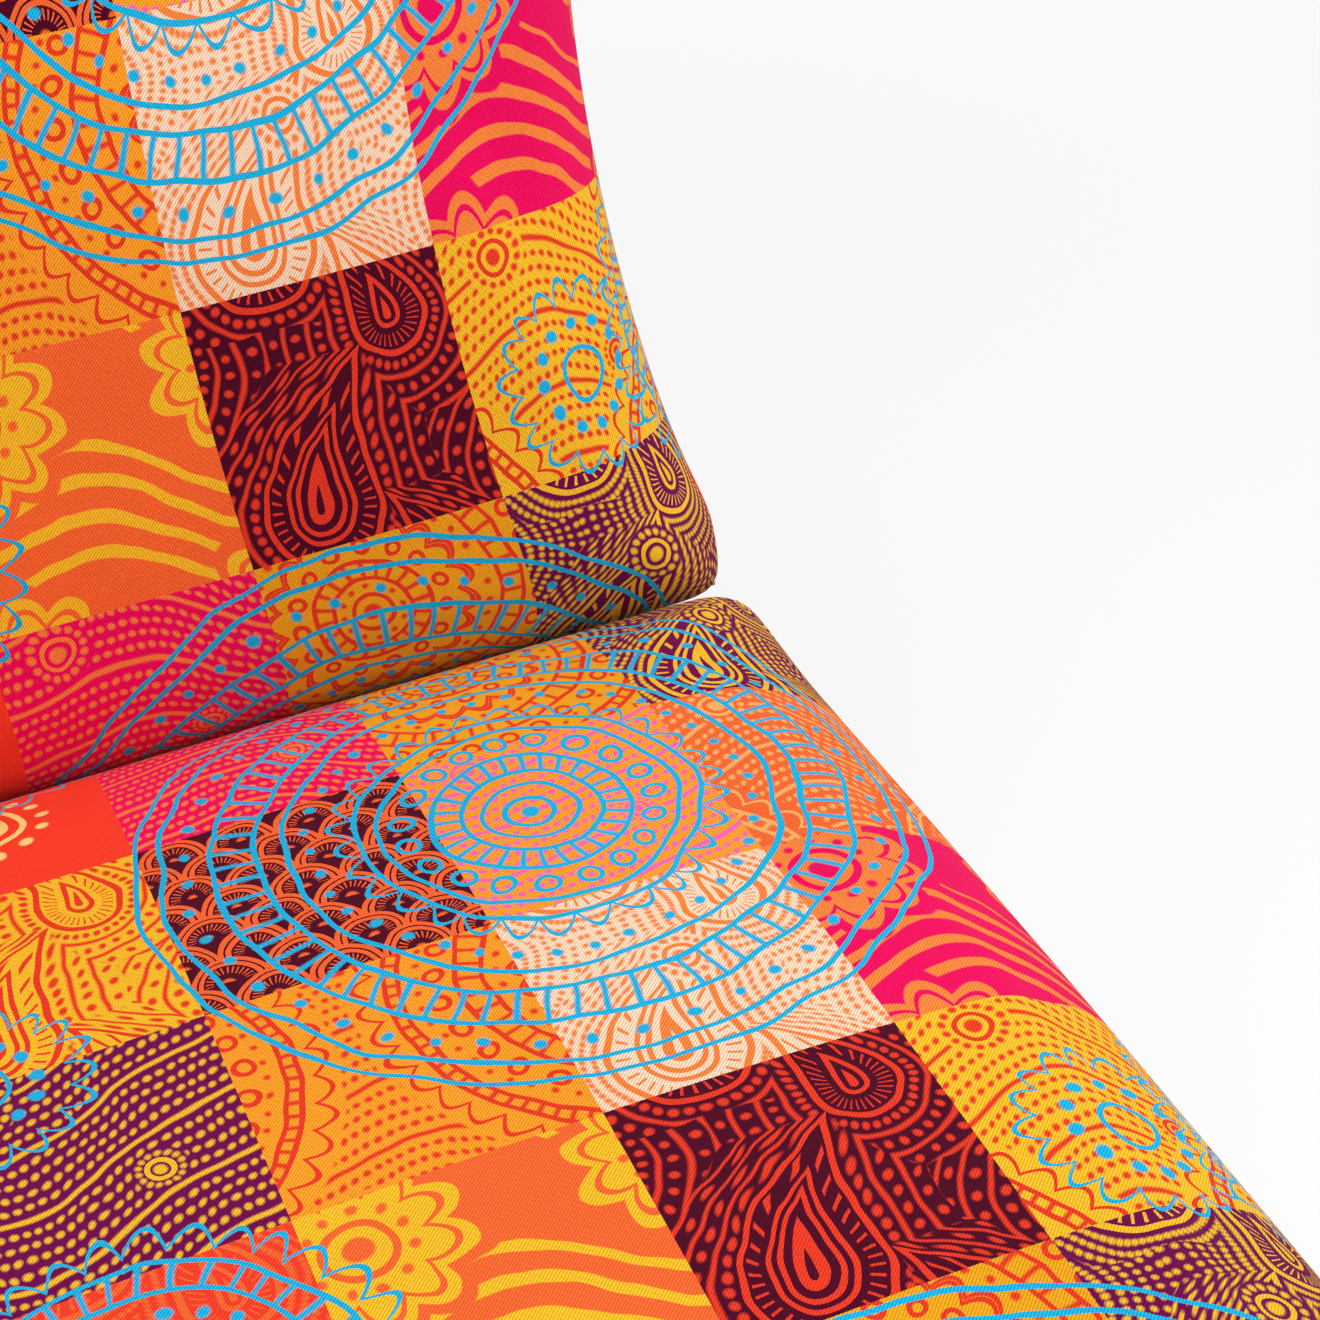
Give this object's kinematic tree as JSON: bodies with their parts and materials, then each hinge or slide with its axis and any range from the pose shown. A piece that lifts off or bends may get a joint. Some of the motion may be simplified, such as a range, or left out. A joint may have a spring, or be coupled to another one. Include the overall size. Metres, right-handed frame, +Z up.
{
  "type": "convertible armchair",
  "caption": "Armless padded chair whose patchwork back folds flat on a click hinge to make a low bed, carried by a fold-out leg.",
  "frame": {"origin": "floor level under the middle of the chair's box, with the back upright", "axes": "+X to the sitter's right as seen from the front, +Y towards the back, +Z up"},
  "size_m": [0.8444, 0.831, 0.8772],
  "materials": {
    "patchwork_fabric": "printed woven cotton, patchwork of squares",
    "cushion_foam": "polyether foam block",
    "hook_tape": "woven hook and loop tape",
    "black_steel": "satin black powder coat",
    "zinc_steel": "bright zinc plate",
    "spring_steel": "blued spring strip",
    "wheel_steel": "yellow zinc plate",
    "beech": "bent beech plies, clear lacquer",
    "black_plastic": "moulded, fine grain",
    "white_nylon": "natural nylon"
  },
  "bodies": {
    "base": {"base_end_plugs": "black_plastic", "base_glides": "black_plastic", "bearer_bolts": "zinc_steel", "front_crossbar": "black_steel", "front_left_leg": "black_steel", "front_right_leg": "black_steel", "hinge_bolts": "zinc_steel", "hinge_nuts": "zinc_steel", "left_bearer": "black_steel", "left_click_spring": "spring_steel", "left_seat_arm": "black_steel", "rear_crossbar": "black_steel", "rear_left_leg": "black_steel", "rear_right_leg": "black_steel", "right_bearer": "black_steel", "right_click_spring": "spring_steel", "right_seat_arm": "black_steel", "seat_arm_bolts": "zinc_steel", "seat_cover": "patchwork_fabric", "seat_foam": "cushion_foam", "seat_front_rail": "black_steel", "seat_hook_tapes": "hook_tape", "seat_left_rail": "black_steel", "seat_rear_rail": "black_steel", "seat_right_rail": "black_steel", "seat_slat_1": "beech", "seat_slat_2": "beech", "seat_slat_3": "beech", "seat_slat_4": "beech", "seat_slat_5": "beech", "seat_slat_holders": "black_plastic", "spacer_blocks": "black_plastic"},
    "back": {"back_bottom_rail": "black_steel", "back_cover": "patchwork_fabric", "back_end_plugs": "black_plastic", "back_foam": "cushion_foam", "back_frame_bolts": "zinc_steel", "back_hook_tapes": "hook_tape", "back_left_rail": "black_steel", "back_right_rail": "black_steel", "back_slat_1": "beech", "back_slat_2": "beech", "back_slat_3": "beech", "back_slat_4": "beech", "back_slat_holders": "black_plastic", "back_top_rail": "black_steel", "bed_leg_brackets": "black_steel", "bed_leg_catches": "black_plastic", "bed_leg_pivot_bolts": "zinc_steel", "bed_leg_pivot_nuts": "zinc_steel", "hinge_bushes": "white_nylon", "left_back_arm": "black_steel", "left_click_wheel": "wheel_steel", "right_back_arm": "black_steel", "right_click_wheel": "wheel_steel"},
    "bed_leg": {"bed_leg_crossbar": "black_steel", "bed_leg_glides": "black_plastic", "bed_leg_left_post": "black_steel", "bed_leg_plugs": "black_plastic", "bed_leg_right_post": "black_steel"}
  },
  "joints": [
    {"name": "back_recline", "type": "hinge", "parent": "base", "child": "back", "pos_m": [0, 0.20862, 0.34], "axis": [-1, 0, 0], "range_deg": [0, 80], "deforming": ["left_click_spring", "right_click_spring"]},
    {"name": "bed_leg_swing", "type": "hinge", "parent": "back", "child": "bed_leg", "pos_m": [0, 0.39918, 0.76539], "axis": [1, 0, 0], "range_deg": [0, 90]}
  ]
}
